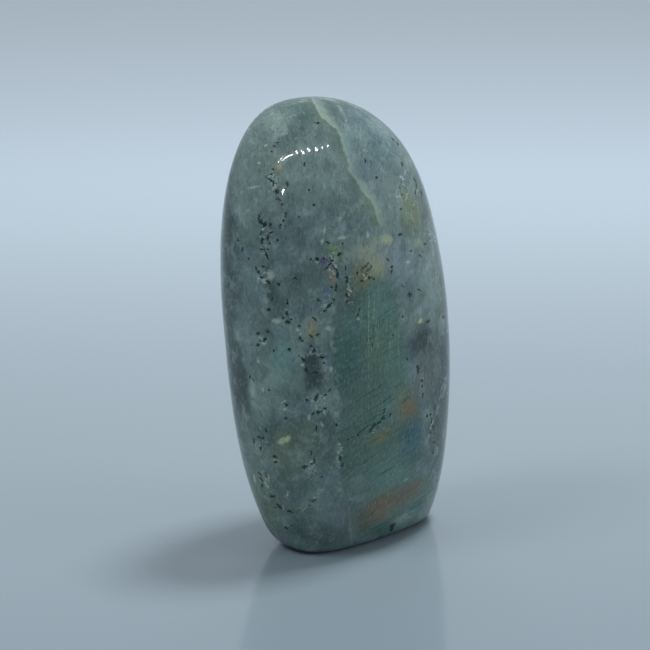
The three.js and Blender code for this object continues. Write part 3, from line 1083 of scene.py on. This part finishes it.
    def colour(self) -> tuple[Wire, Wire, Wire]:
        """The stone's colour.

        Returns:
            The place that it is worked out from, the colour and, from 0 to 1, how much is dark flake.
        """
        g = self.graph
        place = self.place_in(self.picture)
        back = self.place_in(self.back_picture)
        loose = g.offset(place, Shift.LOOSE)
        ragged = g.offset(place, Shift.RAGGED)
        fine = g.offset(place, Shift.FINE)

        colour = self.drifting(self.matrix(loose), loose)
        colour = self.paint(colour, BACK_PATCHES, g.offset(back, Shift.LOOSE), picture=self.back_picture)
        colour = self.paint(colour, BROAD_PATCHES, loose)
        colour = self.paint(colour, SMALL_PATCHES, ragged)
        colour = self.mottled(colour, loose)
        colour = self.flashed(colour, self.flash_mask(fine, back), place, ragged, back)
        colour = self.grained(colour, place)
        colour = self.draw_boundaries(colour, ragged, place)
        colour = self.crumbs(colour, ragged, back)
        frayed = g.noise(place, Cloud.FRAYS)
        pale = g.fade(self.deepest(PALE_FLECKS, fine, *self.fleck_reach) + frayed, Fade.PALE_FLECKS)
        colour = g.mix(pale, colour, self.rock(Tone.FLECK))
        flakes = self.deepest(FLAKES, fine, *self.fleck_reach) + frayed * 2.0
        flakes = g.fade(flakes, Fade.FLAKES)
        return place, g.mix(flakes, colour, self.rock(Tone.FLAKE)), flakes

    def build(self) -> bpy.types.Material:
        """Joins the finish into one shader."""
        g = self.graph
        place, colour, flakes = self.colour()
        uneven = g.fade(g.noise(place, Cloud.POLISH), Fade.POLISH)
        roughness = uneven + self.smoothest + flakes * self.flake_gloss
        height = g.noise(place, Cloud.RIPPLES)
        links = {"Strength": self.ripple_strength, "Distance": self.ripple_height * MM, "Height": height}
        bump = g.node("ShaderNodeBump", {}, links)
        links = {"Base Color": colour, "Roughness": roughness, "Normal": bump, "IOR": 1.56}
        g.end("ShaderNodeOutputMaterial", g.node("ShaderNodeBsdfPrincipled", {}, links))
        log.info("polished_labradorite: %d nodes", len(g.tree.nodes))
        return self.material


@dataclass(frozen=True)
class Softbox:
    """A large square light that looks at the stone: its place to the right, nearer and up, in metres."""

    name: str
    right: float
    near: float
    up: float
    side: float
    power: float


@dataclass(frozen=True)
class RingLamp:
    """A row of small lamps whose mirror images on the polish are dots at these pixels."""

    dots: tuple[tuple[float, float], ...]
    away: float = 0.42
    radius: float = 0.0028
    power: float = 0.065


@dataclass
class Studio:
    """A pale floor with painted shade towards the camera and painted light far off, soft light and the
    camera at the photograph's place.
    """

    picture: StoneInPicture
    floor_half: float = 6.0
    # The front tone is painted shade towards the camera and the far tone painted light far behind the
    # stone.
    painted_shade_front_floor: tuple[float, float, float] = (0.235, 0.30, 0.345)
    middle_floor: tuple[float, float, float] = (0.315, 0.39, 0.44)
    painted_light_far_floor: tuple[float, float, float] = (0.66, 0.79, 0.90)
    front_light: tuple[float, float, float] = (0.22, 0.245, 0.27)
    back_light: tuple[float, float, float] = (0.36, 0.40, 0.442)
    softboxes: tuple[Softbox, ...] = (
        Softbox("softbox_above", 0.20, -0.15, 0.85, 0.18, 4.8),
        Softbox("softbox_right", 0.85, 0.30, 0.60, 0.50, 1.2),
        Softbox("softbox_left", -0.50, 0.24, 0.72, 0.28, 1.9),
        Softbox("softbox_far", 0.0, -1.6, 1.3, 1.0, 5.0),
    )
    lamps: tuple[RingLamp, ...] = (
        RingLamp(((278.7, 161.3), (283.4, 159.1), (286.9, 157.4), (291.9, 155.9), (298, 153.6),
                  (303.4, 152.7), (309.3, 151.3), (316.8, 149.9), (322.4, 148), (280.5, 159.5),
                  (282.6, 158.1), (285.9, 156.3), (289.8, 154.7), (296.2, 152), (301.2, 150.4),
                  (308, 149), (315.1, 148.1), (328, 145.6))),
        RingLamp(((282.2, 193.6), (283.4, 191.4)), radius=0.0045, power=0.12),
    )

    def build(self) -> None:
        """Makes the floor, the world, the lights and the camera."""
        self.floor()
        self.world()
        for softbox in self.softboxes:
            self.add_softbox(softbox)
        for lamps in self.lamps:
            self.add_lamps(lamps)
        self.camera()
        log.info("studio: floor, %d softboxes and %d rows of lamps", len(self.softboxes), len(self.lamps))

    def floor(self) -> None:
        """A pale floor, slightly glossy, that grows lighter from the camera's side to far behind the stone:
        painted shade and painted light.
        """
        half = self.floor_half
        corners = [(-half, -half, 0), (half, -half, 0), (half, half, 0), (-half, half, 0)]
        mesh = bpy.data.meshes.new("floor")
        mesh.from_pydata(corners, [], [(0, 1, 2, 3)])
        floor = bpy.data.objects.new("floor", mesh)
        bpy.context.scene.collection.objects.link(floor)
        material = bpy.data.materials.new("pale_floor")
        g = Graph(material)
        place = g.node("ShaderNodeTexCoord", {}, {}, "Object")
        behind = tuple(-self.picture.viewpoint.axes()[2] * (1, 1, 0))
        away = g.vector("DOT_PRODUCT", place, behind, output=1)
        # Painted shade on the camera's side and painted light far behind, over the floor's own tone.
        colour = g.mix(g.fade(away, Fade.NEAR_FLOOR_PAINTED_SHADE), self.painted_shade_front_floor, self.middle_floor)
        colour = g.mix(g.fade(away, Fade.FAR_FLOOR_PAINTED_LIGHT), colour, self.painted_light_far_floor)
        links = {"Base Color": colour, "Roughness": 0.12, "IOR": 1.7}
        g.end("ShaderNodeOutputMaterial", g.node("ShaderNodeBsdfPrincipled", {}, links))
        mesh.materials.append(material)

    def world(self) -> None:
        """Soft light from all round, stronger from behind the stone than from the camera's side."""
        world = bpy.data.worlds.new("soft_light")
        bpy.context.scene.world = world
        g = Graph(world)
        direction = g.node("ShaderNodeTexCoord", {}, {}, "Generated")
        behind = tuple(-self.picture.viewpoint.axes()[2] * (1, 1, 0))
        share = g.fade(g.vector("DOT_PRODUCT", direction, behind, output=1), Fade.BACK_LIGHT)
        colour = g.mix(share, self.front_light, self.back_light)
        g.end("ShaderNodeOutputWorld", g.node("ShaderNodeBackground", {}, {"Color": colour}))

    def add_light(self, name: str, kind: str, place: Sequence[float], power: float) -> bpy.types.Object:
        """Adds a light of a kind at a place in metres."""
        light = bpy.data.lights.new(name, kind)
        light.energy = power
        holder = bpy.data.objects.new(name, light)
        holder.location = place
        bpy.context.scene.collection.objects.link(holder)
        return holder

    def add_softbox(self, softbox: Softbox) -> None:
        """Adds a softbox that looks at the stone and that the polish doesn't mirror."""
        right, _, out = self.picture.viewpoint.axes()
        near = out * (1, 1, 0)
        place = Vector(right * softbox.right + near * softbox.near + np.array([0, 0, softbox.up]))
        holder = self.add_light(softbox.name, "AREA", place, softbox.power)
        holder.data.size = softbox.side
        holder.rotation_mode = "QUATERNION"
        holder.rotation_quaternion = (Vector((0, 0, 0.045)) - place).to_track_quat("-Z", "Y")
        holder.visible_glossy = False

    def add_lamps(self, lamps: RingLamp) -> None:
        """Adds small lamps where the polish mirrors them as dots: out along each mirrored line of sight."""
        for x, y in lamps.dots:
            spot, normal = self.picture.on_stone(x, y)
            sight = Vector(self.picture.viewpoint.ray(x, y))
            place = spot * MM + sight.reflect(normal) * lamps.away
            holder = self.add_light("small_lamp", "POINT", place, lamps.power)
            holder.data.shadow_soft_size = lamps.radius
            holder.visible_diffuse = False

    def camera(self) -> None:
        """The camera where the photograph was taken from, and plain colour handling."""
        viewpoint = self.picture.viewpoint
        data = bpy.data.cameras.new("camera")
        data.sensor_width = 36.0
        data.lens = data.sensor_width * viewpoint.focal_pixels / PICTURE_SIDE
        data.clip_start = 0.01
        camera = bpy.data.objects.new("camera", data)
        rotation = Matrix(viewpoint.axes().tolist()).transposed()
        camera.matrix_world = Matrix.Translation(viewpoint.position() * MM) @ rotation.to_4x4()
        scene = bpy.context.scene
        scene.collection.objects.link(camera)
        scene.camera = camera
        scene.view_settings.view_transform = "Standard"


def main() -> None:
    """Builds the stone, its finish and the studio."""
    logging.basicConfig(level=logging.INFO, format="%(name)s: %(message)s")
    body = StoneBody()
    picture = StoneInPicture(Viewpoint(), body)
    back_picture = StoneInPicture(Viewpoint(azimuth=135.0), body)
    stone = body.build()
    stone.data.materials.append(LabradoriteFinish(picture, back_picture).build())
    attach(stone, "root")
    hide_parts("stone")
    Studio(picture).build()


if __name__ == "__main__":
    main()
